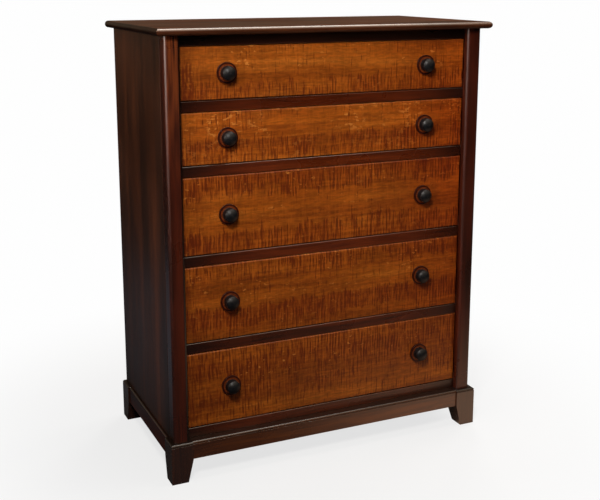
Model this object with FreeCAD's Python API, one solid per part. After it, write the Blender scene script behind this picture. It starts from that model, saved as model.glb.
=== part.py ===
import FreeCAD, Part
import math
import os

# Chest of five drawers, in millimetres. X runs to the right as seen from the front, Y to the back, Z up.
# The origin is on the floor, under the middle of the top board.

Vector = FreeCAD.Vector

# Top board
top_width = 914.0
top_thickness = 18.0
top_side_overhang = 22.0
top_front_overhang = 20.0
top_back_overhang = 5.0

# Case
case_depth = 438.0
side_thickness = 18.0
stile_width = 40.0
stile_thickness = 18.0
stile_return = 20.0
stile_round = 8.0
seam_ease = 1.0
back_thickness = 6.0
back_rebate = 9.0

# Web frames between the drawers
rail_height = 26.5
bottom_rail_height = 24.5
rail_depth = 55.0
rail_ease = 1.0
housing_depth = 6.0
tongue_length = 10.0
tongue_thickness = 9.0
runner_width = 48.0
guide_height = 20.0
stop_width = 40.0
stop_depth = 15.0
stop_height = 6.0
stop_spread = 240.0

# Base
base_height = 105.0
base_projection = 7.5
apron_height = 46.5
rear_apron_thickness = 18.0
foot_width = 57.0
foot_floor_width = 43.0
foot_projection = 4.0
nose_radius = 5.0
quirk_depth = 2.0
quirk_height = 2.0
tenon_length = 12.0
tenon_thickness = 9.0
tenon_shoulder = 8.0
cleat_size = 20.0

# Drawers, from the top one down
shallow_front_height = 127.0
deep_front_height = 194.0
front_heights = [shallow_front_height] * 2 + [deep_front_height] * 3
reveal = 1.5
front_thickness = 20.0
front_ease = 2.0
drawer_back_gap = 12.0
drawer_side_thickness = 12.0
drawer_side_drop = 5.0
drawer_back_thickness = 12.0
drawer_back_inset = 12.0
drawer_bottom_thickness = 6.0
drawer_bottom_rise = 10.0
drawer_groove_depth = 6.0

# Dovetails
front_tail_length = 14.0
pin_tip = 7.0
tail_pitch = 50.0
tail_slope_share = 0.14

# Knobs: a wide rim and a domed boss, on a round tenon
knob_radius = 25.5
knob_rim_height = 5.0
knob_boss_radius = 17.0
knob_boss_height = 22.0
knob_length = 30.0
knob_spread = 276.0
knob_tenon_radius = 7.0
knob_tenon_clearance = 0.25
knob_tenon_room = 1.0

# Places worked out from the sizes above
case_half = top_width / 2 - top_side_overhang
side_inner = case_half - side_thickness
opening_half = case_half - stile_width
drawer_half = opening_half - reveal
drawer_depth = case_depth - back_thickness - drawer_back_gap
top_depth = top_front_overhang + stile_thickness + case_depth + top_back_overhang
top_front = -top_depth / 2
front_face = top_front + top_front_overhang + stile_thickness
stile_front = front_face - stile_thickness
stile_back = front_face + stile_return
case_back = front_face + case_depth
back_front = case_back - back_thickness
rail_back = front_face + rail_depth
rear_rail_front = back_front - rail_depth
apron_front = stile_front - base_projection
apron_outer = case_half + base_projection
apron_bottom = base_height - apron_height
foot_front = apron_front - foot_projection
foot_outer = apron_outer + foot_projection
foot_inner = foot_outer - foot_width
foot_back = foot_front + foot_width
rear_foot_front = case_back - foot_width
arc_middle_share = 1 - math.sqrt(0.5)


# Shapes

def box(x, y, z):
    """A block between two limits on each axis."""
    return Part.makeBox(x[1] - x[0], y[1] - y[0], z[1] - z[0], Vector(x[0], y[0], z[0]))


def in_yz(u, v):
    return Vector(0, u, v)


def in_xz(u, v):
    return Vector(u, 0, v)


def in_xy(u, v):
    return Vector(u, v, 0)


def outline(place, start, steps):
    """A closed face. Each step is an end point, or a middle point and an end point for an arc."""
    edges = []
    here = start
    for step in list(steps) + [start]:
        if isinstance(step[0], tuple):
            via, end = step
            edges.append(Part.Arc(place(*here), place(*via), place(*end)).toShape())
        else:
            end = step
            if end != here:
                edges.append(Part.makeLine(place(*here), place(*end)))
        here = end
    return Part.Face(Part.Wire(edges))


def along_x(start, steps, x):
    """A YZ outline drawn out along X."""
    face = outline(in_yz, start, steps)
    face.translate(Vector(x[0], 0, 0))
    return face.extrude(Vector(x[1] - x[0], 0, 0))


def along_y(start, steps, y):
    """An XZ outline drawn out along Y."""
    face = outline(in_xz, start, steps)
    face.translate(Vector(0, y[0], 0))
    return face.extrude(Vector(0, y[1] - y[0], 0))


def along_z(start, steps, z):
    """An XY outline drawn out along Z."""
    face = outline(in_xy, start, steps)
    face.translate(Vector(0, 0, z[0]))
    return face.extrude(Vector(0, 0, z[1] - z[0]))


def corner_arc(corner, radius, u_sign, v_sign, from_u):
    """Two steps that round a corner: the arc's start, then its middle and end."""
    u, v = corner
    u_point = (u + u_sign * radius, v)
    v_point = (u, v + v_sign * radius)
    via = (u + u_sign * radius * arc_middle_share, v + v_sign * radius * arc_middle_share)
    if from_u:
        return [u_point, (via, v_point)]
    return [v_point, (via, u_point)]


def joined(solids):
    """One solid from pieces that touch."""
    return solids[0].fuse(solids[1:]).removeSplitter()


def mirrored(shape):
    """The same piece on the other side of the chest."""
    return shape.mirror(Vector(0, 0, 0), Vector(1, 0, 0))


def save(name, solids):
    """Write one node: one solid, or a group of separate solids."""
    shape = solids[0] if len(solids) == 1 else Part.makeCompound(solids)
    shape.exportStep("parts/" + name + ".step")


# Heights of the web frames and of the drawer openings between them

def stack_levels():
    """Limits in Z of the six rails from the top down, and of the five openings."""
    rails = []
    openings = []
    low = base_height
    high = low + bottom_rail_height
    rails.append((low, high))
    for height in reversed(front_heights):
        opening_top = high + height + 2 * reveal
        openings.append((high, opening_top))
        low = opening_top
        high = low + rail_height
        rails.append((low, high))
    return rails[::-1], openings[::-1]


rail_levels, opening_levels = stack_levels()
case_top = rail_levels[0][1]


# Top and case

def top_board():
    """The top: its front and side edges are half round and meet in a mitre."""
    low, high = case_top, case_top + top_thickness
    middle = (low + high) / 2
    round_radius = top_thickness / 2
    half = top_width / 2
    back = top_front + top_depth
    front_edge = along_x(
        (top_front + round_radius, low),
        [(back, low), (back, high), (top_front + round_radius, high),
         ((top_front, middle), (top_front + round_radius, low))],
        (-half, half))
    side_edges = along_y(
        (round_radius - half, low),
        [(half - round_radius, low), ((half, middle), (half - round_radius, high)),
         (round_radius - half, high), ((-half, middle), (round_radius - half, low))],
        (top_front, back))
    return front_edge.common(side_edges)


def right_housings():
    """The grooves in the side of the case that take the ends of the web frames."""
    depth = (side_inner, side_inner + housing_depth)
    return [box(depth, (front_face, case_back), level) for level in rail_levels]


def right_side_panel():
    """A side board, housed for the web frames, rebated for the back and eased at its seam with the stile."""
    board = along_z(
        (side_inner, stile_back),
        [(case_half - seam_ease, stile_back), (case_half, stile_back + seam_ease), (case_half, case_back),
         (side_inner, case_back)],
        (base_height, case_top))
    rebate = box((side_inner, side_inner + back_rebate), (back_front, case_back), (base_height, case_top))
    return board.cut(right_housings() + [rebate])


def right_front_stile():
    """A corner stile, rounded on both front edges, whose leg reaches back to the side board."""
    outer = corner_arc((case_half, stile_front), stile_round, -1, 1, False)
    inner = corner_arc((opening_half, stile_front), stile_round, 1, 1, True)
    leg = [(side_inner, front_face), (side_inner, stile_back), (case_half - seam_ease, stile_back),
           (case_half, stile_back - seam_ease)]
    stile = along_z((opening_half, front_face), leg + outer + inner, (base_height, case_top))
    return stile.cut(right_housings())


def back_panel():
    """The thin back, in the sides' rebates."""
    half = side_inner + back_rebate
    return box((-half, half), (back_front, case_back), (base_height, case_top))


def tongue_level(level):
    """Limits in Z of the groove and tongue in the middle of a web frame."""
    middle = (level[0] + level[1]) / 2
    return (middle - tongue_thickness / 2, middle + tongue_thickness / 2)


def front_rail(level):
    """A rail across the front, eased on its front edges and grooved behind for the runners."""
    low, high = level
    groove_low, groove_high = tongue_level(level)
    groove_front = rail_back - tongue_length
    groove = [(rail_back, groove_low), (groove_front, groove_low), (groove_front, groove_high),
              (rail_back, groove_high)]
    steps = [(rail_back, low)] + groove + [(rail_back, high), (front_face + rail_ease, high),
                                           (front_face, high - rail_ease), (front_face, low + rail_ease)]
    half = side_inner + housing_depth
    return along_x((front_face + rail_ease, low), steps, (-half, half))


def rear_rail(level):
    """A rail across the back of a web frame, grooved in front for the runners."""
    low, high = level
    groove_low, groove_high = tongue_level(level)
    groove_back = rear_rail_front + tongue_length
    steps = [(back_front, low), (back_front, high), (rear_rail_front, high), (rear_rail_front, groove_high),
             (groove_back, groove_high), (groove_back, groove_low), (rear_rail_front, groove_low)]
    half = side_inner + housing_depth
    return along_x((rear_rail_front, low), steps, (-half, half))


def right_runner(level, lift):
    """A runner tongued into the front and rear rails, whose top stands above them by the lift."""
    low, high = level
    width = (side_inner - runner_width, side_inner)
    length = (rail_back, rear_rail_front)
    tongued_length = (length[0] - tongue_length, length[1] + tongue_length)
    bar = box(width, length, (low, high + lift))
    housed = box((side_inner, side_inner + housing_depth), length, level)
    tongues = box(width, tongued_length, tongue_level(level))
    return joined([bar, housed, tongues])


def right_guide(opening):
    """A strip beside the drawer, flush with the stile, notched over the raised runner."""
    low = opening[0]
    strip = box((opening_half, side_inner), (front_face, back_front), (low, low + guide_height))
    notch = box((opening_half, side_inner), (rail_back, rear_rail_front), (low, low + reveal))
    return strip.cut(notch)


def right_stop(opening):
    """A block on the rail that the back of the drawer front meets."""
    middle = stop_spread
    back_of_front = front_face + front_thickness
    return box((middle - stop_width / 2, middle + stop_width / 2),
               (back_of_front, back_of_front + stop_depth),
               (opening[0], opening[0] + stop_height))


# Base

def moulded_edge(outer, inward):
    """Steps down the moulded upper edge of the base: a nose, a quirk and the face below it."""
    nose = corner_arc((outer, base_height), nose_radius, inward, -1, True)
    quirk_top = base_height - nose_radius
    quirk_low = quirk_top - quirk_height
    bed = outer + inward * quirk_depth
    return nose + [(bed, quirk_top), (bed, quirk_low), (outer, quirk_low)]


def tenon_level():
    """Limits in Z of the aprons' tenons."""
    return (apron_bottom + tenon_shoulder, base_height - nose_radius - quirk_height - tenon_shoulder)


def front_apron():
    """The front apron, with a stub tenon into each front foot."""
    steps = moulded_edge(apron_front, 1) + [(apron_front, apron_bottom), (front_face, apron_bottom)]
    board = along_x((front_face, base_height), steps, (-foot_inner, foot_inner))
    middle = (apron_front + front_face) / 2
    reach = foot_inner + tenon_length
    tenon = box((-reach, reach), (middle - tenon_thickness / 2, middle + tenon_thickness / 2), tenon_level())
    return joined([board, tenon])


def right_apron():
    """A side apron, with a stub tenon into the front and the rear foot."""
    steps = moulded_edge(apron_outer, -1) + [(apron_outer, apron_bottom), (side_inner, apron_bottom)]
    board = along_y((side_inner, base_height), steps, (foot_back, rear_foot_front))
    middle = (apron_outer + side_inner) / 2
    tenon = box((middle - tenon_thickness / 2, middle + tenon_thickness / 2),
                (foot_back - tenon_length, rear_foot_front + tenon_length), tenon_level())
    return joined([board, tenon])


def rear_apron():
    """The plain rear apron, with a stub tenon into each rear foot."""
    front = case_back - rear_apron_thickness
    board = box((-foot_inner, foot_inner), (front, case_back), (apron_bottom, base_height))
    middle = (front + case_back) / 2
    reach = foot_inner + tenon_length
    tenon = box((-reach, reach), (middle - tenon_thickness / 2, middle + tenon_thickness / 2), tenon_level())
    return joined([board, tenon])


def foot_profile(inner, outer, inward, moulded):
    """A foot seen from one side: moulded or plain outside, tapered inside below the apron."""
    edge = moulded_edge(outer, inward) if moulded else [(outer, base_height)]
    floor_inner = outer + inward * foot_floor_width
    return (inner, base_height), edge + [(outer, 0), (floor_inner, 0), (inner, apron_bottom)]


def right_foot(y, at_front, aprons):
    """A block foot, tapered on its two inner faces and mortised for its aprons."""
    across = along_y(*foot_profile(foot_inner, foot_outer, -1, True), y)
    if at_front:
        profile = foot_profile(y[1], y[0], 1, True)
    else:
        profile = foot_profile(y[0], y[1], -1, False)
    return across.common(along_x(*profile, (foot_inner, foot_outer))).cut(aprons)


def base_cleats():
    """Strips inside the aprons that carry the bottom web frame."""
    level = (base_height - cleat_size, base_height)
    rear = case_back - rear_apron_thickness
    right = box((side_inner - cleat_size, side_inner), (foot_back, rear_foot_front), level)
    return [
        box((-foot_inner, foot_inner), (front_face, front_face + cleat_size), level),
        box((-foot_inner, foot_inner), (rear - cleat_size, rear), level),
        right,
        mirrored(right),
    ]


# Drawers

def tails(count, z, y, x):
    """A row of dovetails that widen from the shoulder to the end, limits y in that order."""
    shoulder, end = y
    pitch = (z[1] - z[0]) / count
    wide = (pitch - pin_tip) / 2
    narrow = wide - tail_slope_share * abs(end - shoulder)
    row = []
    for index in range(count):
        middle = z[0] + pitch * index + pitch / 2
        steps = [(end, middle - wide), (end, middle + wide), (shoulder, middle + narrow)]
        row.append(along_x((shoulder, middle - narrow), steps, x))
    return row


def knob_places(z):
    """Where the two knobs of a drawer sit on its front."""
    middle = (z[0] + z[1]) / 2
    return [Vector(-knob_spread, front_face, middle), Vector(knob_spread, front_face, middle)]


def drawer_front(z, sockets, panel):
    """The front board, eased all round its face, with sockets, a groove and two knob holes."""
    board = box((-drawer_half, drawer_half), (front_face, front_face + front_thickness), z)
    middle_of_face = front_face + front_ease / 2
    face_edges = [edge for edge in board.Edges if edge.BoundBox.YMax < middle_of_face]
    eased = board.makeChamfer(front_ease, face_edges)
    hole = knob_tenon_radius + knob_tenon_clearance
    holes = [Part.makeCylinder(hole, front_thickness, place, Vector(0, 1, 0)) for place in knob_places(z)]
    return eased.cut(sockets + [panel] + holes)


def turned_knob(place):
    """A turned knob on the drawer front, with a tenon into it. Its outline counts height from the front."""
    tenon_end = knob_tenon_room - front_thickness
    dome_rise = knob_length - knob_boss_height
    dome_radius = (knob_boss_radius ** 2 + dome_rise ** 2) / (2 * dome_rise)
    half_angle = math.asin(knob_boss_radius / dome_radius) / 2
    dome_via = (dome_radius * math.sin(half_angle), knob_length - dome_radius * (1 - math.cos(half_angle)))
    steps = [
        (knob_tenon_radius, tenon_end),
        (knob_tenon_radius, 0),
        (knob_radius, 0),
        (knob_radius, knob_rim_height),
        (knob_boss_radius, knob_rim_height),
        (knob_boss_radius, knob_boss_height),
        (dome_via, (0, knob_length)),
    ]
    knob = outline(in_xy, (0, tenon_end), steps).revolve(Vector(0, 0, 0), Vector(0, 1, 0), 360)
    knob.rotate(Vector(0, 0, 0), Vector(0, 0, 1), 180)
    knob.translate(place)
    return knob


def build_drawer(name, opening, front_height):
    """All the pieces of one drawer, which rests on its runners."""
    low = opening[0] + reveal
    front_z = (low, low + front_height)
    side_z = (low, low + front_height - drawer_side_drop)
    side_x = (drawer_half - drawer_side_thickness, drawer_half)
    front_back = front_face + front_thickness
    drawer_end = front_face + drawer_depth
    back_end = drawer_end - drawer_back_inset
    panel_low = low + drawer_bottom_rise
    panel_high = panel_low + drawer_bottom_thickness
    grooved_half = side_x[0] + drawer_groove_depth
    grooved_x = (-grooved_half, grooved_half)
    panel = box(grooved_x, (front_back - drawer_groove_depth, drawer_end), (panel_low, panel_high))
    back = box(grooved_x, (back_end - drawer_back_thickness, back_end), (panel_high, side_z[1]))
    count = round(front_height / tail_pitch)
    front_tails = tails(count, side_z, (front_back, front_back - front_tail_length), side_x)
    board = box(side_x, (front_back, drawer_end), side_z)
    right_side = joined([board] + front_tails).cut([panel, back])
    sockets = front_tails + [mirrored(tail) for tail in front_tails]
    save(name + "_front", [drawer_front(front_z, sockets, panel)])
    save(name + "_left_side", [mirrored(right_side)])
    save(name + "_right_side", [right_side])
    save(name + "_back", [back])
    save(name + "_bottom", [panel])
    save(name + "_knobs", [turned_knob(place) for place in knob_places(front_z)])


# The whole chest

def save_pair(name, right):
    """Write a piece and its mirror image as two nodes."""
    save("left_" + name, [mirrored(right)])
    save("right_" + name, [right])


def both_sides(pieces):
    """The pieces of the right side and their mirror images, as one group."""
    return pieces + [mirrored(piece) for piece in pieces]


def build_case():
    save("top_board", [top_board()])
    save_pair("side_panel", right_side_panel())
    save_pair("front_stile", right_front_stile())
    save("back_panel", [back_panel()])
    save("top_rail", [front_rail(rail_levels[0])])
    for number, level in enumerate(rail_levels[1:-1], 1):
        save("divider_rail_" + str(number), [front_rail(level)])
    save("bottom_rail", [front_rail(rail_levels[-1])])
    save("rear_rails", [rear_rail(level) for level in rail_levels])
    runners = [right_runner(rail_levels[0], 0)] + [right_runner(level, reveal) for level in rail_levels[1:]]
    save("drawer_runners", both_sides(runners))
    save("side_guides", both_sides([right_guide(opening) for opening in opening_levels]))
    save("drawer_stops", both_sides([right_stop(opening) for opening in opening_levels]))


def build_base():
    front = front_apron()
    rear = rear_apron()
    right = right_apron()
    save("front_apron", [front])
    save("rear_apron", [rear])
    save_pair("apron", right)
    front_foot = right_foot((foot_front, foot_back), True, [front, right])
    rear_foot = right_foot((rear_foot_front, case_back), False, [rear, right])
    save("front_left_foot", [mirrored(front_foot)])
    save("front_right_foot", [front_foot])
    save("rear_left_foot", [mirrored(rear_foot)])
    save("rear_right_foot", [rear_foot])
    save("base_cleats", base_cleats())


os.makedirs("parts", exist_ok=True)
build_case()
build_base()
for number, (opening, front_height) in enumerate(zip(opening_levels, front_heights), 1):
    build_drawer("drawer_" + str(number), opening, front_height)
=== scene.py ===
"""Looks of the block front chest: wood finishes for its nodes, a pale floor, studio light and the camera.

Lengths are in metres. A pair of numbers is a span: where an effect starts and where it is complete, or the
values that it has at these two ends.
"""

import math

import bpy
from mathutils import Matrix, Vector

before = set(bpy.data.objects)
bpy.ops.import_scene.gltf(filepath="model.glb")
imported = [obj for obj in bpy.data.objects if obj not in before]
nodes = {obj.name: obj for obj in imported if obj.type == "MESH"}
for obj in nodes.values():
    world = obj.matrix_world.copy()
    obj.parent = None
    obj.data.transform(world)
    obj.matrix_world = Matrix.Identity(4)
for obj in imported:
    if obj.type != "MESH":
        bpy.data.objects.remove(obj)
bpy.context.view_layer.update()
scene = bpy.context.scene
scene.view_settings.view_transform = "Standard"

ALONG = {"x": 0, "y": 1, "z": 2}


def linear(red, green, blue):
    """A colour written in 0 to 255, taken off the sRGB curve for the shader."""
    def channel(value):
        share = value / 255
        return share / 12.92 if share <= 0.04045 else ((share + 0.055) / 1.055) ** 2.4
    return (channel(red), channel(green), channel(blue), 1.0)


# Shared by all finishes: the middle of a noise, where most of its values lie, the octaves of clouds, and the
# whole span of a share.
NOISE_MIDDLE = 0.5
NOISE_SPAN = (0.3, 0.7)
CLOUD_OCTAVES = 3.0
NONE_TO_ALL = (0.0, 1.0)

# How far two objects with neighbouring numbers lie apart in a pattern, along X, Y and Z.
OBJECT_STEPS = (1.37, 0.83, 2.11)

# What the normal of a face tells: a worn edge by the cosine between it and the rounded normal, a round by its
# largest part, end grain by its part along the grain.
EDGE_COSINES = (0.995, 0.8)
ROUND_PARTS = (0.998, 0.94)
END_GRAIN_PARTS = (0.15, 0.5)
BEVEL_SAMPLES = 4

# Sockets of a mix node that take and give colours.
MIX_SHARE, MIX_FIRST, MIX_SECOND = 0, 6, 7
MIX_RESULT = 2


class Graph:
    """The node tree of a material or world, with a short call for each kind of node in use."""

    def __init__(self, owner, output):
        owner.use_nodes = True
        self.owner = owner
        self.tree = owner.node_tree
        self.tree.nodes.clear()
        self.output = self.tree.nodes.new(output)
        coordinates = self.tree.nodes.new("ShaderNodeTexCoord").outputs
        self.place = coordinates["Object"]
        self.generated = coordinates["Generated"]

    def node(self, kind, inputs=(), **settings):
        made = self.tree.nodes.new(kind)
        for name, value in settings.items():
            setattr(made, name, value)
        for key, value in dict(inputs).items():
            if isinstance(value, bpy.types.NodeSocket):
                self.tree.links.new(value, made.inputs[key])
            else:
                made.inputs[key].default_value = value
        return made

    def end(self, shader):
        """Show a shader node; gives back the material or world."""
        self.tree.links.new(shader.outputs[0], self.output.inputs[0])
        return self.owner

    def math(self, operation, first, second=0.0):
        return self.node("ShaderNodeMath", {0: first, 1: second}, operation=operation).outputs[0]

    def product(self, first, *others):
        for other in others:
            first = self.math("MULTIPLY", first, other)
        return first

    def between(self, first, second, share):
        """A share of the first value and the rest of the second."""
        return self.math("ADD", self.product(first, share), self.product(second, 1.0 - share))

    def swing(self, value, width):
        """A noise as a swing to both sides of zero."""
        return self.product(self.math("SUBTRACT", value, NOISE_MIDDLE), width)

    def remap(self, value, source, target=NONE_TO_ALL, smooth=True):
        return self.node("ShaderNodeMapRange", {
            "Value": value, "From Min": source[0], "From Max": source[1],
            "To Min": target[0], "To Max": target[1],
        }, interpolation_type="SMOOTHSTEP" if smooth else "LINEAR").outputs[0]

    def vector(self, operation, first, second=(0.0, 0.0, 0.0)):
        made = self.node("ShaderNodeVectorMath", {0: first, 1: second}, operation=operation)
        return made.outputs["Value" if operation in ("DOT_PRODUCT", "LENGTH") else "Vector"]

    def parts(self, vector):
        return self.node("ShaderNodeSeparateXYZ", {0: vector}).outputs

    def pushed(self, place, value, amounts):
        """A place moved along each axis by its amount of the value."""
        push = self.node("ShaderNodeCombineXYZ", {
            index: self.product(value, amount) for index, amount in enumerate(amounts)
        }).outputs[0]
        return self.vector("ADD", place, push)

    def spot(self, variety=0.0):
        """Place in the patterns; each object has its own part of them."""
        number = self.node("ShaderNodeObjectInfo").outputs["Object Index"]
        return self.vector("ADD", self.pushed(self.place, number, OBJECT_STEPS), (variety, variety, variety))

    def noise(self, vector, turns, octaves=2.0, roughness=0.5):
        """A noise with so many turns in a metre along X, Y and Z."""
        return self.node("ShaderNodeTexNoise", {
            "Vector": self.vector("MULTIPLY", vector, turns), "Scale": 1.0,
            "Detail": octaves, "Roughness": roughness,
        }).outputs[0]

    def mix(self, share, first, second, blend="MIX"):
        return self.node("ShaderNodeMix", {MIX_SHARE: share, MIX_FIRST: first, MIX_SECOND: second},
                         data_type="RGBA", blend_type=blend).outputs[MIX_RESULT]

    def shaded(self, colour, shade):
        """A colour made lighter or darker."""
        grey = self.node("ShaderNodeCombineColor", {0: shade, 1: shade, 2: shade}).outputs[0]
        return self.mix(1.0, colour, grey, "MULTIPLY")

    def ramp(self, value, stops, interpolation="LINEAR"):
        stops = list(stops)
        made = self.node("ShaderNodeValToRGB", {0: value})
        band = made.color_ramp
        band.interpolation = interpolation
        while len(band.elements) < len(stops):
            band.elements.new(1.0)
        for element, (place, colour) in zip(band.elements, stops):
            element.position = place
            element.color = colour
        return made.outputs[0]

    def facing(self):
        return self.node("ShaderNodeNewGeometry").outputs["Normal"]

    def bevel(self, radius):
        return self.node("ShaderNodeBevel", {"Radius": radius}, samples=BEVEL_SAMPLES).outputs[0]

    def edge(self, rounded):
        """Share of wear: one on sharp edges, zero on open faces."""
        return self.remap(self.vector("DOT_PRODUCT", rounded, self.facing()), EDGE_COSINES)

    def rounds(self):
        """One where a face turns between the main directions, zero on flat faces."""
        across, deep, tall = self.parts(self.vector("ABSOLUTE", self.facing()))
        return self.remap(self.math("MAXIMUM", self.math("MAXIMUM", across, deep), tall), ROUND_PARTS)

    def end_grain(self, axis):
        """One on faces cut across the grain."""
        along = self.parts(self.facing())[ALONG[axis]]
        return self.remap(self.math("ABSOLUTE", along), END_GRAIN_PARTS)

    def bump(self, height, distance, normal):
        return self.node("ShaderNodeBump", {
            "Height": height, "Distance": distance, "Normal": normal,
        }).outputs[0]

    def relief(self, raised, sunk, shares, distance, normal):
        """Bump from one pattern that stands up and one that lies deep."""
        height = self.math("SUBTRACT", self.product(raised, shares[0]), self.product(sunk, shares[1]))
        return self.bump(height, distance, normal)

    def rays(self):
        """One for rays from the camera, and one for rays by way of gloss or glass."""
        path = self.node("ShaderNodeLightPath").outputs
        return path["Is Camera Ray"], self.math("MAXIMUM", path["Is Glossy Ray"], path["Is Transmission Ray"])

    def finish(self, colour, roughness, normal, ior, coat=()):
        inputs = {"Base Color": colour, "Roughness": roughness, "Normal": normal, "IOR": ior}
        inputs.update(coat)
        return self.end(self.node("ShaderNodeBsdfPrincipled", inputs))


def material_graph(name):
    return Graph(bpy.data.materials.new(name), "ShaderNodeOutputMaterial")


def grained(axis, along, across):
    """Values for X, Y and Z: one along the grain, the other across it."""
    values = [across] * 3
    values[ALONG[axis]] = along
    return tuple(values)


def board_noises(graph, axis, sway, cloud_turns, noises):
    """Clouds all over a board, then noises that are stretched along its grain and sway a little across it."""
    spot = graph.spot()
    sway_turns, push = sway
    bent = graph.pushed(spot, graph.noise(spot, (sway_turns,) * 3), grained(axis, 0.0, push))
    cloud = graph.noise(spot, (cloud_turns,) * 3, CLOUD_OCTAVES)
    stretched = [graph.noise(bent, grained(axis, along, across), octaves, roughness)
                 for along, across, octaves, roughness in noises]
    return (cloud, *stretched)


# Stained wood. The sway has its turns in a metre and its push. Each noise has its turns along and across the
# grain, its octaves and its roughness: broad streaks, fine grain and pores.
STAIN_SWAY = (3.0, 0.03)
STAIN_CLOUD_TURNS = 4.0
STAIN_NOISES = [(0.9, 17.0, 3.0, 0.55), (6.0, 190.0, 4.0, 0.6), (28.0, 900.0, 2.0, 0.5)]
STREAK_SHARE = 0.62
STAIN_STOPS = (0.36, 0.5, 0.66)
STAIN_CLOUD_SHADES = (0.82, 1.16)
PORE_SPAN = (0.62, 0.72)
PORE_DARKNESS = 0.45
PORE_ROUGHNESS = 0.08
STAIN_EDGE = 0.0012
WORN_GRAIN = (0.35, 0.65)
WORN_SHARES = (0.15, 0.7)
END_GRAIN_SOAK = 0.8
END_GRAIN_STAIN = linear(12, 7, 5)
END_GRAIN_LACQUER = (1.0, 0.1)
STAIN_GLOSS_STEPS = (-0.04, 0.05)
STAIN_RELIEF_SHARES = (0.5, 0.6)
STAIN_RELIEF = 0.00006
# Little lacquer under the edge of the top: part of the normal upward, and the lacquer there.
BELOW_PARTS = (-0.35, 0.1)
BELOW_LACQUER = (0.1, 1.0)
# Painted shade: dark colour on upward faces such as ledges, and a painted shadow toward the ends of the rails.
PAINTED_SHADE_COLOUR = linear(16, 5, 3)
LEDGE_SHADE_PARTS = (0.4, 0.85)
LEDGE_SHADE_SHARES = (0.0, 0.85)
END_SHADOW_PLACES = (0.2, 0.42)
END_SHADOW_STRAY = 0.1
END_SHADOW_SHARES = (0.0, 0.88)
# The left stile: painted light, lighter colour near the top of its front; painted shade, a dark inner corner;
# less lacquer farther down.
TOP_LIGHT_HEIGHTS = (0.72, 1.06)
TOP_LIGHT_SHARES = (0.0, 0.6)
TOP_LIGHT_GRAIN = (0.35, 0.6)
TOP_LIGHT_PARTS = (-0.6, -0.95)
PAINTED_TOP_LIGHT = linear(112, 54, 22)
CORNER_SHADE_PARTS = (0.03, 0.35)
PAINTED_CORNER_SHADE = linear(6, 2, 1)
LACQUER_HEIGHTS = (0.3, 0.85)
LACQUER_SHARES = (0.12, 1.0)


def stained_wood(name, axis, shades, rounds, flats=0.0, coat_roughness=0.2, coat_ior=1.5, roughness=0.28,
                 ior=1.5, painted_ledge_shade=False, painted_end_shadows=False, bare_below=False, corner=False):
    """Dark stained wood with worn edges; rounds and flats say how much lacquer round and flat faces have."""
    graph = material_graph(name)
    cloud, broad, fine, pores = board_noises(graph, axis, STAIN_SWAY, STAIN_CLOUD_TURNS, STAIN_NOISES)
    dark, middle, light, worn = shades
    colour = graph.ramp(graph.between(broad, fine, STREAK_SHARE), zip(STAIN_STOPS, (dark, middle, light)))
    colour = graph.shaded(colour, graph.remap(cloud, NOISE_SPAN, STAIN_CLOUD_SHADES))
    holes = graph.remap(pores, PORE_SPAN)
    colour = graph.mix(graph.product(holes, PORE_DARKNESS), colour, dark)
    rounded = graph.bevel(STAIN_EDGE)
    wear = graph.product(graph.edge(rounded), graph.remap(fine, WORN_GRAIN, WORN_SHARES))
    colour = graph.mix(wear, colour, worn)
    cut = graph.end_grain(axis)
    colour = graph.mix(graph.product(cut, END_GRAIN_SOAK), colour, END_GRAIN_STAIN)
    lacquer = graph.product(graph.remap(graph.rounds(), NONE_TO_ALL, (flats, rounds), smooth=False),
                            graph.remap(cut, NONE_TO_ALL, END_GRAIN_LACQUER))
    aside, forward, up = graph.parts(graph.facing())
    across, _, tall = graph.parts(graph.place)
    if bare_below:
        lacquer = graph.product(lacquer, graph.remap(up, BELOW_PARTS, BELOW_LACQUER))
    # Painted light near the top of the front faces, and painted shade on faces turned inward at the corner.
    if corner:
        top_light = graph.product(graph.remap(tall, TOP_LIGHT_HEIGHTS, TOP_LIGHT_SHARES), graph.remap(fine, TOP_LIGHT_GRAIN),
                              graph.remap(forward, TOP_LIGHT_PARTS))
        colour = graph.mix(top_light, colour, PAINTED_TOP_LIGHT)
        corner_shade = graph.remap(aside, CORNER_SHADE_PARTS)
        colour = graph.mix(corner_shade, colour, PAINTED_CORNER_SHADE)
        lacquer = graph.product(lacquer, graph.math("SUBTRACT", 1.0, corner_shade),
                                graph.remap(tall, LACQUER_HEIGHTS, LACQUER_SHARES))
    # Painted shade: upward faces are darkened.
    if painted_ledge_shade:
        colour = graph.mix(graph.remap(up, LEDGE_SHADE_PARTS, LEDGE_SHADE_SHARES), colour, PAINTED_SHADE_COLOUR)
    # Painted shadow: colour darkens toward both ends along X, where the stiles shade the rails.
    if painted_end_shadows:
        out = graph.math("ADD", graph.math("ABSOLUTE", across), graph.swing(cloud, END_SHADOW_STRAY))
        colour = graph.mix(graph.remap(out, END_SHADOW_PLACES, END_SHADOW_SHARES), colour, PAINTED_SHADE_COLOUR)
    gloss = graph.remap(cloud, NOISE_SPAN, [roughness + step for step in STAIN_GLOSS_STEPS])
    gloss = graph.math("ADD", gloss, graph.product(holes, PORE_ROUGHNESS))
    normal = graph.relief(fine, holes, STAIN_RELIEF_SHARES, STAIN_RELIEF, rounded)
    return graph.finish(colour, gloss, normal, ior, {
        "Coat Weight": lacquer, "Coat Roughness": coat_roughness, "Coat IOR": coat_ior, "Coat Normal": normal,
    })


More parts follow.
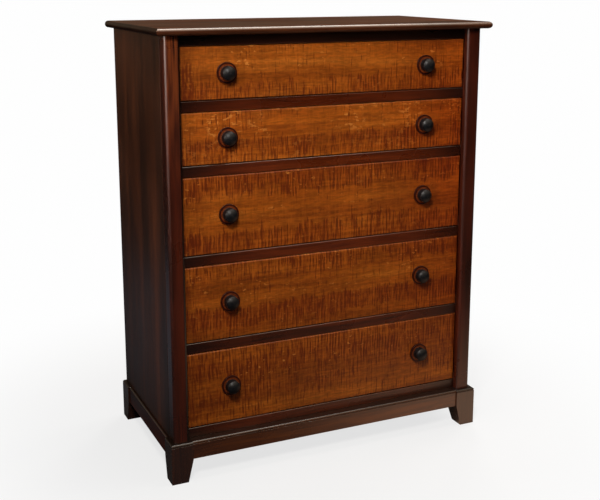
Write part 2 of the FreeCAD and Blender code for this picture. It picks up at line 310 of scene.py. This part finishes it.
# Curly maple. Each noise has its turns in a metre along X, Y and Z, its octaves and its roughness; the swayed
# ones are bent by the sway.
MAPLE_SWAY_TURNS = (9.0, 1.0, 14.0)
MAPLE_SWAY = (0.006, 0.0, 0.008)
STEADY_NOISES = {
    "cloud": ((7.0, 1.0, 10.0), 3.0, 0.5),
    "ragged": ((38.0, 1.0, 3.0), 3.0, 0.6),
    "patch": ((13.0, 1.0, 15.0), 3.0, 0.55),
    "flecks": ((75.0, 1.0, 150.0), 2.0, 0.5),
    "uneven": ((16.0, 1.0, 2.5), 2.0, 0.5),
}
SWAYED_NOISES = {
    "grain": ((5.0, 1.0, 150.0), 4.0, 0.6),
    "belt": ((1.4, 1.0, 22.0), 3.0, 0.55),
    "ripple": ((95.0, 1.0, 12.0), 2.0, 0.5),
    "lines": ((3.0, 1.0, 170.0), 3.0, 0.55),
    "strokes": ((330.0, 1.0, 30.0), 2.0, 0.55),
    "bold": ((200.0, 1.0, 24.0), 2.0, 0.55),
    "dashes": ((60.0, 1.0, 260.0), 2.0, 0.55),
}
MAPLE_GRAIN_SHARE = 0.4
MAPLE_STOPS = [
    (0.34, linear(104, 46, 9)), (0.46, linear(126, 60, 12)),
    (0.56, linear(141, 71, 15)), (0.68, linear(158, 87, 24)),
]
MAPLE_CLOUD_SHADES = (0.86, 1.12)
MAPLE_SHADES = {
    "ripple": ((0.32, 0.68), (0.93, 1.07)),
    "lines": ((0.32, 0.68), (0.88, 1.12)),
    "dashes": ((0.34, 0.66), (0.82, 1.2)),
}
# Curl: how far the bands' limits stray, how much patches of the board differ, and how far the curl lets the
# strokes reach.
BAND_STRAY = 0.34
PATCH_STRAY = 1.3
CURL_START = 0.55
CURL_REACH = 0.27
CURL_REACH_MOST = 0.055
CURL_STAIN_SPAN = (0.45, 1.1)
CURL_STAIN_SHARES = (0.0, 0.42)
CURL_STAIN = linear(112, 40, 8)
# Strokes: thin ones in a comb of so many in a metre, thick ones, and light wood that flashes between them.
COMB_TURNS = 115.0
COMB_STRAY = 18.0
COMB_CLOUD = (0.38, 0.62)
COMB_DEPTHS = (0.03, 0.1)
THIN_SPAN = (0.565, 0.65)
THIN_SHARE = 0.77
THICK_SPAN = (0.61, 0.68)
THICK_SHARE = 0.4
STROKE_STAIN = linear(78, 22, 3)
STROKE_ROUGHNESS = 0.06
FLASH_SPAN = (0.45, 0.33)
FLASH_CURL = (0.3, 0.8)
FLASH_SHARES = (0.14, 0.38)
FLASH_COLOUR = linear(182, 96, 26)
# Light flecks, most of them in the upper part of a board.
FLECK_SOFTNESS = 0.08
FLECK_PATCH = (0.42, 0.6)
FLECK_HEIGHTS = (0.4, 0.65)
FLECK_SHARES = (0.25, 0.7)
FLECK_COLOUR = linear(196, 122, 52)
# A dark place near the left end, and a change of tint toward the right end.
DARK_END_LEFT = (-0.415, -0.395)
DARK_END_RIGHT = (-0.31, -0.385)
DARK_END_HEIGHTS = (0.95, 0.6)
DARK_END_STROKES = (0.44, 0.56)
DARK_END_STAIN = linear(82, 24, 4)
TINT_PLACES = (0.1, 0.4)
MAPLE_EDGE = 0.001
MAPLE_WEAR = 0.6
MAPLE_WORN = linear(190, 118, 56)
MAPLE_ROUGHNESS = (0.32, 0.4)
MAPLE_RELIEF_SHARES = (0.5, 0.3)
MAPLE_RELIEF = 0.00005
MAPLE_IOR = 1.34


def curly_maple(name, variety, bands, tone, flecks_from, end_tint, dark_end):
    """Amber maple, grain along X, dark strokes of curl across it; bands say how much curl at which height."""
    graph = material_graph(name)
    spot = graph.spot(variety)
    bent = graph.pushed(spot, graph.noise(spot, MAPLE_SWAY_TURNS), MAPLE_SWAY)
    figure = {label: graph.noise(spot, *noise) for label, noise in STEADY_NOISES.items()}
    figure.update((label, graph.noise(bent, *noise)) for label, noise in SWAYED_NOISES.items())
    cloud, patch, grain, bold = (figure[label] for label in ("cloud", "patch", "grain", "bold"))
    across = graph.parts(graph.place)[0]
    height = graph.parts(graph.generated)[2]

    colour = graph.ramp(graph.between(grain, figure["belt"], MAPLE_GRAIN_SHARE), MAPLE_STOPS)
    cloud_shade = graph.remap(cloud, NOISE_SPAN, [tone * shade for shade in MAPLE_CLOUD_SHADES])
    shade = graph.product(cloud_shade, *[
        graph.remap(figure[label], span, shades) for label, (span, shades) in MAPLE_SHADES.items()
    ])
    colour = graph.shaded(colour, shade)

    level = graph.math("ADD", height, graph.swing(figure["ragged"], BAND_STRAY))
    curl = graph.ramp(level, [(place, (share, share, share, 1.0)) for place, share in bands], "EASE")
    curl = graph.math("ADD", curl, graph.swing(patch, PATCH_STRAY))
    reach = graph.product(graph.math("SUBTRACT", curl, CURL_START), CURL_REACH)
    reach = graph.math("MINIMUM", reach, CURL_REACH_MOST)
    turn = graph.math("ADD", graph.product(graph.parts(bent)[0], 2 * math.pi * COMB_TURNS),
                      graph.product(figure["uneven"], COMB_STRAY))
    comb = graph.product(graph.math("SINE", turn), graph.remap(cloud, COMB_CLOUD, COMB_DEPTHS))
    combed = graph.math("ADD", figure["strokes"], comb)
    thin = graph.remap(graph.math("ADD", combed, reach), THIN_SPAN)
    thick = graph.remap(graph.math("ADD", bold, reach), THICK_SPAN)
    dark = graph.math("MAXIMUM", graph.product(thin, THIN_SHARE), graph.product(thick, THICK_SHARE))
    flash = graph.product(graph.remap(combed, FLASH_SPAN), graph.remap(curl, FLASH_CURL, FLASH_SHARES))
    colour = graph.mix(graph.remap(curl, CURL_STAIN_SPAN, CURL_STAIN_SHARES), colour, CURL_STAIN)
    colour = graph.mix(flash, colour, FLASH_COLOUR)
    colour = graph.mix(dark, colour, STROKE_STAIN)

    light = graph.product(graph.remap(figure["flecks"], (flecks_from, flecks_from + FLECK_SOFTNESS)),
                          graph.remap(patch, FLECK_PATCH), graph.remap(height, FLECK_HEIGHTS, FLECK_SHARES))
    colour = graph.mix(light, colour, FLECK_COLOUR)
    if dark_end:
        share = graph.product(graph.remap(across, DARK_END_RIGHT),
                              graph.remap(bold, DARK_END_STROKES, (0.0, dark_end)),
                              graph.remap(across, DARK_END_LEFT), graph.remap(level, DARK_END_HEIGHTS))
        colour = graph.mix(share, colour, DARK_END_STAIN)
    colour = graph.mix(graph.remap(across, TINT_PLACES), colour, graph.mix(1.0, colour, end_tint, "MULTIPLY"))
    rounded = graph.bevel(MAPLE_EDGE)
    colour = graph.mix(graph.product(graph.edge(rounded), MAPLE_WEAR), colour, MAPLE_WORN)
    gloss = graph.remap(grain, NOISE_SPAN, MAPLE_ROUGHNESS)
    gloss = graph.math("ADD", gloss, graph.product(dark, STROKE_ROUGHNESS))
    normal = graph.relief(grain, dark, MAPLE_RELIEF_SHARES, MAPLE_RELIEF, rounded)
    return graph.finish(colour, gloss, normal, MAPLE_IOR)


# Knobs: their distance from the middle of the drawer and their width, the radii where a ring of painted shade
# starts, and the planes in front of the rim where the boss starts.
KNOB_PLACE = 0.276
KNOB_WIDTH = 0.051
SHADE_RING_RADII = (0.0205, 0.0225)
PAINTED_RING_SHADE = linear(40, 8, 5)
BOSS_PLACES = (-0.2079, -0.2082)
KNOB_GRAIN_TURNS = (60.0, 400.0, 500.0)
KNOB_GRAIN_OCTAVES = 3.0
KNOB_GRAIN_ROUGHNESS = 0.55
KNOB_CLOUD_TURNS = (40.0, 40.0, 40.0)
KNOB_STOPS = (0.35, 0.65)
RIM_COLOURS = (linear(76, 30, 10), linear(112, 50, 18))
BOSS_COLOURS = (linear(10, 11, 13), linear(20, 20, 22))
KNOB_SIDE_PAINTED_SHADE = linear(40, 9, 4)
KNOB_FRONT_PARTS = (0.3, 0.8)
KNOB_EDGE = 0.0012
KNOB_WEAR = 0.25
KNOB_WORN = linear(120, 70, 42)
KNOB_ROUGHNESS = (0.34, 0.44)
KNOB_RELIEF = 0.00003
KNOB_IOR = 1.28


def knob_finish():
    """Turned knobs: brown stained rim with a ring of painted shade at its edge and painted shade on its sides,
    near black boss, grain across the turning.
    """
    graph = material_graph("knob_finish")
    spot = graph.spot()
    fine = graph.noise(spot, KNOB_GRAIN_TURNS, KNOB_GRAIN_OCTAVES, KNOB_GRAIN_ROUGHNESS)
    cloud = graph.noise(spot, KNOB_CLOUD_TURNS)
    across, deep, _ = graph.parts(graph.place)
    aside = graph.math("SUBTRACT", graph.math("ABSOLUTE", across), KNOB_PLACE)
    above = graph.swing(graph.parts(graph.generated)[2], KNOB_WIDTH)
    squares = [graph.math("POWER", graph.math("ABSOLUTE", length), 2.0) for length in (aside, above)]
    away = graph.math("SQRT", graph.math("ADD", *squares))
    rim = graph.ramp(fine, zip(KNOB_STOPS, RIM_COLOURS))
    # Painted shade: a dark ring near the rim's outer edge.
    rim = graph.mix(graph.remap(away, SHADE_RING_RADII), rim, PAINTED_RING_SHADE)
    boss = graph.ramp(fine, zip(KNOB_STOPS, BOSS_COLOURS))
    front = graph.remap(graph.math("ABSOLUTE", graph.parts(graph.facing())[1]), KNOB_FRONT_PARTS)
    # Painted shade: faces that do not look forward are darker.
    colour = graph.mix(front, KNOB_SIDE_PAINTED_SHADE, rim)
    colour = graph.mix(graph.remap(deep, BOSS_PLACES), colour, boss)
    rounded = graph.bevel(KNOB_EDGE)
    colour = graph.mix(graph.product(graph.edge(rounded), KNOB_WEAR), colour, KNOB_WORN)
    gloss = graph.remap(cloud, NOISE_SPAN, KNOB_ROUGHNESS)
    return graph.finish(colour, gloss, graph.bump(fine, KNOB_RELIEF, rounded), KNOB_IOR)


# Plain wood, written as the stained wood is; its noises are rings and fine grain.
PLAIN_SWAY = (4.0, 0.04)
PLAIN_CLOUD_TURNS = 6.0
PLAIN_NOISES = [(1.6, 42.0, 3.0, 0.55), (9.0, 260.0, 3.0, 0.55)]
GROWTH_RING_SHARE = 0.6
PLAIN_STOPS = (0.34, 0.5, 0.68)
PLAIN_CLOUD_SHADES = (0.92, 1.05)
PLAIN_EDGE = 0.0008
PLAIN_EDGE_DARKNESS = 0.3
PLAIN_GLOSS_STEPS = (-0.04, 0.06)
PLAIN_RELIEF = 0.00008
PLAIN_IOR = 1.35
# Stain that ran in from the front: where along Y it ends, and how far that strays with the grain.
STAIN_RUN_PLACES = (-0.15, -0.165)
STAIN_RUN_STRAY = 0.01
STAIN_RUN_COLOUR = linear(34, 13, 6)


def plain_wood(name, axis, shades, roughness, stained=False):
    """Plain wood of the insides: pale bands and fine grain; if stained, stain ran in a little at the front."""
    graph = material_graph(name)
    cloud, rings, fine = board_noises(graph, axis, PLAIN_SWAY, PLAIN_CLOUD_TURNS, PLAIN_NOISES)
    colour = graph.ramp(graph.between(rings, fine, GROWTH_RING_SHARE), zip(PLAIN_STOPS, shades))
    colour = graph.shaded(colour, graph.remap(cloud, NOISE_SPAN, PLAIN_CLOUD_SHADES))
    if stained:
        deep = graph.math("ADD", graph.parts(graph.place)[1], graph.product(fine, STAIN_RUN_STRAY))
        colour = graph.mix(graph.remap(deep, STAIN_RUN_PLACES), colour, STAIN_RUN_COLOUR)
    rounded = graph.bevel(PLAIN_EDGE)
    colour = graph.mix(graph.product(graph.edge(rounded), PLAIN_EDGE_DARKNESS), colour, shades[0])
    gloss = graph.remap(fine, NOISE_SPAN, [roughness + step for step in PLAIN_GLOSS_STEPS])
    return graph.finish(colour, gloss, graph.bump(fine, PLAIN_RELIEF, rounded), PLAIN_IOR)


def dress(names, material):
    """Give nodes a finish."""
    for name in names:
        for slot in nodes[name].material_slots:
            slot.material = material


# The number that gives each object its own part of the patterns.
for index, name in enumerate(sorted(nodes)):
    nodes[name].pass_index = index

# Stains, from dark to light, with the colour of worn edges last.
# The top rail's stain is darker than the other rails': painted shade for the shadow under the top.
SHADED_TOP_RAIL_SHADES = (linear(20, 8, 3), linear(36, 14, 6), linear(54, 22, 8), linear(80, 42, 24))
FOOT_SHADES = (linear(24, 10, 4), linear(42, 19, 8), linear(62, 29, 12), linear(92, 50, 28))
CASE_SHADES = (linear(30, 9, 3), linear(56, 18, 7), linear(82, 29, 10), linear(104, 50, 28))
RAIL_SHADES = (linear(42, 13, 3), linear(74, 26, 6), linear(104, 42, 11), linear(122, 64, 30))
BASE_SHADES = (linear(42, 16, 4), linear(70, 31, 8), linear(98, 48, 14), linear(150, 82, 34))
SIDE_SHADES = (linear(22, 11, 6), linear(47, 24, 13), linear(78, 40, 20), linear(98, 56, 34))
TOP_SHADES = (linear(36, 16, 8), linear(58, 28, 14), linear(80, 43, 23), linear(104, 62, 38))
# Plain woods, from dark to light.
PALE_SHADES = (linear(172, 128, 80), linear(205, 164, 112), linear(222, 186, 136))
FRAME_SHADES = (linear(140, 100, 62), linear(172, 130, 84), linear(192, 152, 104))
PANEL_SHADES = (linear(158, 116, 74), linear(188, 146, 98), linear(206, 168, 120))

dress(["top_board"], stained_wood(
    "top_wood", "x", TOP_SHADES, rounds=1.0, coat_roughness=0.26, coat_ior=1.8, roughness=0.42, ior=1.16,
    bare_below=True))
dress(["left_side_panel", "right_side_panel"], stained_wood(
    "side_wood", "z", SIDE_SHADES, rounds=0.0, roughness=0.4, ior=1.35))
# The left stile carries painted light near the top of its front and painted shade in its inner corner.
dress(["left_front_stile"], stained_wood(
    "left_stile_wood", "z", CASE_SHADES, rounds=1.0, coat_roughness=0.36, coat_ior=1.7, corner=True))
dress(["right_front_stile"], stained_wood(
    "right_stile_wood", "z", CASE_SHADES, rounds=0.25, coat_roughness=0.5))
# The top rail: a darker stain as painted shade under the top, and painted shadows toward its ends.
dress(["top_rail"], stained_wood("top_rail_shaded_wood", "x", SHADED_TOP_RAIL_SHADES, rounds=0.5, painted_end_shadows=True))
# The rails have painted shadows toward their ends.
dress(["divider_rail_1", "divider_rail_2", "divider_rail_3", "divider_rail_4", "bottom_rail"], stained_wood(
    "case_wood_x", "x", RAIL_SHADES, rounds=0.35, painted_end_shadows=True))
# Base pieces, side aprons and feet have painted shade on their upward faces.
dress(["front_apron", "rear_apron", "base_cleats"], stained_wood(
    "base_wood_x", "x", BASE_SHADES, rounds=0.3, flats=0.7, coat_roughness=0.26, painted_ledge_shade=True))
dress(["left_apron", "right_apron"], stained_wood(
    "case_wood_y", "y", CASE_SHADES, rounds=0.5, roughness=0.36, ior=1.4, painted_ledge_shade=True))
dress(["front_left_foot", "front_right_foot", "rear_left_foot", "rear_right_foot"], stained_wood(
    "foot_wood", "z", FOOT_SHADES, rounds=0.6, flats=0.9, coat_roughness=0.26, painted_ledge_shade=True))
panel_x = plain_wood("panel_wood", "x", PANEL_SHADES, roughness=0.55)
dress(["back_panel"], panel_x)
dress(["rear_rails", "drawer_stops"], plain_wood(
    "frame_wood_x", "x", FRAME_SHADES, roughness=0.6, stained=True))
dress(["drawer_runners", "side_guides"], plain_wood(
    "frame_wood_y", "y", FRAME_SHADES, roughness=0.6, stained=True))

# The maple of each drawer: bands of curl as pairs of height and amount, tone, the level of noise from which
# flecks show, the tint of the right end and how dark the left end is.
BOARDS = {
    1: {"bands": [(0.0, 0.85), (0.28, 0.75), (0.42, 0.25), (0.7, 0.2), (1.0, 0.3)],
        "tone": 0.9, "flecks_from": 0.62, "end_tint": (1.0, 0.8, 0.7, 1.0), "dark_end": 0.85},
    2: {"bands": [(0.0, 0.75), (0.4, 0.7), (0.55, 0.25), (0.75, 0.3), (1.0, 0.45)],
        "tone": 1.12, "flecks_from": 0.57, "end_tint": (0.85, 0.58, 0.4, 1.0), "dark_end": 0.0},
    3: {"bands": [(0.0, 0.95), (0.22, 0.85), (0.34, 0.15), (0.64, 0.12), (0.76, 0.8), (1.0, 0.9)],
        "tone": 1.0, "flecks_from": 0.64, "end_tint": (0.93, 0.63, 0.42, 1.0), "dark_end": 0.35},
    4: {"bands": [(0.0, 0.55), (0.14, 0.5), (0.18, 0.95), (0.36, 0.9), (0.46, 0.2), (0.72, 0.25), (0.8, 0.7),
                  (1.0, 0.75)],
        "tone": 0.98, "flecks_from": 0.64, "end_tint": (0.83, 0.62, 0.42, 1.0), "dark_end": 0.35},
    5: {"bands": [(0.0, 0.4), (0.3, 0.5), (0.5, 0.45), (0.7, 0.75), (1.0, 0.78)],
        "tone": 0.98, "flecks_from": 0.66, "end_tint": (0.97, 0.9, 0.8, 1.0), "dark_end": 0.5},
}
# How far apart in the patterns the boards of two neighbouring drawers are cut.
BOARD_STEP = 5.1
pale_x = plain_wood("box_wood_x", "x", PALE_SHADES, roughness=0.5)
pale_y = plain_wood("box_wood_y", "y", PALE_SHADES, roughness=0.5)
knobs = knob_finish()
for number, board in BOARDS.items():
    label = f"drawer_{number}"
    dress([f"{label}_front"], curly_maple(f"{label}_maple", BOARD_STEP * number, **board))
    dress([f"{label}_left_side", f"{label}_right_side"], pale_y)
    dress([f"{label}_back"], pale_x)
    dress([f"{label}_bottom"], panel_x)
    dress([f"{label}_knobs"], knobs)

# Pale floor, plain white farther off. The camera sees it so, matt faces are lit by a dark one, and gloss
# mirrors a warm patch at the front right and a faint cool one at the back left.
FLOOR_RADIUS = 60.0
FLOOR_CORNERS = 96
FLOOR_TURNS = (1.5, 1.5, 1.5)
FLOOR_STOPS = [(0.3, linear(204, 204, 203)), (0.7, linear(210, 210, 209))]
FLOOR_DARK = linear(58, 58, 58)
PLAIN_WHITE = linear(254, 254, 254)
WHITE_DISTANCES = (0.4, 1.3)
WHITE_SHARES = (0.75, 1.0)
WARM_ACROSS = [(-0.2, 0.5), (1.6, 1.0)]
WARM_DEEP = [(-1.05, -0.5), (-0.2, -0.25)]
WARM_LEVELS = (0.03, 1.0)
WARM_COLOUR = linear(255, 210, 176)
COOL_ACROSS = (-0.45, -0.7)
COOL_DEEP = (-0.1, 0.3)
COOL_DISTANCES = (2.4, 1.4)
COOL_LEVELS = (0.0, 0.12)
COOL_COLOUR = linear(214, 230, 255)
COOL_TO_WARM = (-0.4, -0.2)


def floor_paper():
    """Matt paper that glows where white or a bright patch is to be seen."""
    graph = material_graph("floor_paper")
    looked_at, mirrored = graph.rays()
    away = graph.vector("LENGTH", graph.place)
    across, deep, _ = graph.parts(graph.place)
    warm = graph.product(*[graph.remap(across, span, WARM_LEVELS) for span in WARM_ACROSS],
                         *[graph.remap(deep, span, WARM_LEVELS) for span in WARM_DEEP])
    cool = graph.product(graph.remap(across, COOL_ACROSS, COOL_LEVELS), graph.remap(deep, COOL_DEEP),
                         graph.remap(away, COOL_DISTANCES))
    shown = graph.math("MAXIMUM", graph.product(looked_at, graph.remap(away, WHITE_DISTANCES, WHITE_SHARES)),
                       graph.product(mirrored, graph.math("MAXIMUM", warm, cool)))
    cover = graph.mix(looked_at, FLOOR_DARK, graph.ramp(graph.noise(graph.place, FLOOR_TURNS), FLOOR_STOPS))
    matt = graph.node("ShaderNodeBsdfDiffuse", {"Color": cover})
    patch = graph.mix(graph.remap(across, COOL_TO_WARM), COOL_COLOUR, WARM_COLOUR)
    lit = graph.mix(looked_at, patch, PLAIN_WHITE)
    glow = graph.node("ShaderNodeEmission", {"Color": lit, "Strength": 1.0})
    return graph.end(graph.node("ShaderNodeMixShader", {0: shown, 1: matt.outputs[0], 2: glow.outputs[0]}))


bpy.ops.mesh.primitive_circle_add(vertices=FLOOR_CORNERS, radius=FLOOR_RADIUS, fill_type="NGON",
                                  location=(0.0, 0.0, 0.0))
floor = bpy.context.object
floor.name = "floor"
floor.data.materials.append(floor_paper())

# World: white for the camera, an even fill for matt faces. Gloss mirrors a dim band at the rear and a bright
# ceiling above the front; both are limited by parts of the direction, Y to the rear and Z upward.
FILL_COLOUR = (1.0, 1.0, 1.0, 1.0)
FILL_LEVEL = 0.05
MIRRORED_COLOUR = linear(255, 226, 188)
BAND_REAR = (0.3, 0.7)
BAND_UP = (0.5, 0.1)
BAND_LEVELS = (0.02, 0.36)
CEILING_REAR = (0.5, 0.0)
CEILING_UP = (0.12, 0.5)


def studio_world():
    """Surroundings of the scene, by what a ray is for."""
    graph = Graph(bpy.data.worlds.new("studio"), "ShaderNodeOutputWorld")
    looked_at, mirrored = graph.rays()
    _, rear, up = graph.parts(graph.generated)
    band = graph.product(graph.remap(rear, BAND_REAR), graph.remap(up, BAND_UP, BAND_LEVELS, smooth=False))
    ceiling = graph.product(graph.remap(rear, CEILING_REAR), graph.remap(up, CEILING_UP))
    fill, dim, white = (graph.node("ShaderNodeBackground", {"Color": colour, "Strength": level}).outputs[0]
                        for colour, level in ((FILL_COLOUR, FILL_LEVEL),
                                              (MIRRORED_COLOUR, graph.math("MAXIMUM", band, ceiling)),
                                              (PLAIN_WHITE, 1.0)))
    unseen = graph.node("ShaderNodeMixShader", {0: mirrored, 1: fill, 2: dim}).outputs[0]
    return graph.end(graph.node("ShaderNodeMixShader", {0: looked_at, 1: unseen, 2: white}))


scene.world = studio_world()


def softbox(name, place, target, size, power, colour, spread=180.0, mirrored=True, lighting=True):
    """Area lamp hidden from the camera; gloss shows it if mirrored, matt faces take its light if lighting."""
    lamp = bpy.data.lights.new(name, "AREA")
    lamp.spread = math.radians(spread)
    lamp.shape = "RECTANGLE"
    lamp.size, lamp.size_y = size
    lamp.energy = power
    lamp.color = colour
    holder = bpy.data.objects.new(name, lamp)
    holder.location = place
    holder.rotation_euler = (Vector(target) - Vector(place)).to_track_quat("-Z", "Y").to_euler()
    holder.visible_camera = False
    holder.visible_glossy = mirrored
    holder.visible_diffuse = lighting
    scene.collection.objects.link(holder)


softbox("key", place=(-1.1, -1.9, 2.45), target=(0.15, -0.2, 0.95), size=(0.55, 0.55), power=64.0,
        colour=(1.0, 0.97, 0.93))
softbox("overhead", place=(0.45, -0.35, 2.65), target=(0.45, -0.3, 1.1), size=(1.3, 0.5), power=20.0,
        colour=(1.0, 0.95, 0.88))
softbox("strip", place=(0.6, -0.7, 2.7), target=(0.6, -0.7, 1.0), size=(1.8, 1.8), power=24.0,
        colour=(1.0, 0.9, 0.8), lighting=False)
softbox("side", place=(-2.0, -0.75, 1.4), target=(-0.435, -0.1, 1.1), size=(2.0, 1.0), power=5.0,
        colour=(1.0, 0.86, 0.76), spread=55.0)
softbox("low_card", place=(1.25, -1.25, 0.35), target=(0.3, -0.2, 0.25), size=(1.0, 0.6), power=1.5,
        colour=(1.0, 0.97, 0.94), mirrored=False)
softbox("rear", place=(1.7, 2.3, 1.9), target=(0.0, 0.1, 0.6), size=(1.0, 1.0), power=50.0,
        colour=(1.0, 0.98, 0.96), mirrored=False)
softbox("right", place=(2.4, 0.8, 1.4), target=(0.44, 0.0, 0.7), size=(1.0, 1.0), power=30.0,
        colour=(1.0, 0.98, 0.96), mirrored=False)

# Camera, solved from the photo. Its shift is less than the photo's, which would cut off the top of the chest in
# other views.
CAMERA_PLACE = (-1.1185, -2.4771, 1.2424)
CAMERA_TURN = math.radians(24.48)
CAMERA_DIP = math.radians(11.84)
LEVEL_TILT = math.radians(90.0)
SENSOR_MILLIMETRES = 36.0
LENS_MILLIMETRES = 60.63
CAMERA_SHIFT = -0.1
camera = bpy.data.cameras.new("camera")
camera.sensor_width = SENSOR_MILLIMETRES
camera.lens = LENS_MILLIMETRES
camera.shift_y = CAMERA_SHIFT
eye = bpy.data.objects.new("camera", camera)
eye.location = CAMERA_PLACE
eye.rotation_euler = (LEVEL_TILT - CAMERA_DIP, 0.0, -CAMERA_TURN)
scene.collection.objects.link(eye)
scene.camera = eye
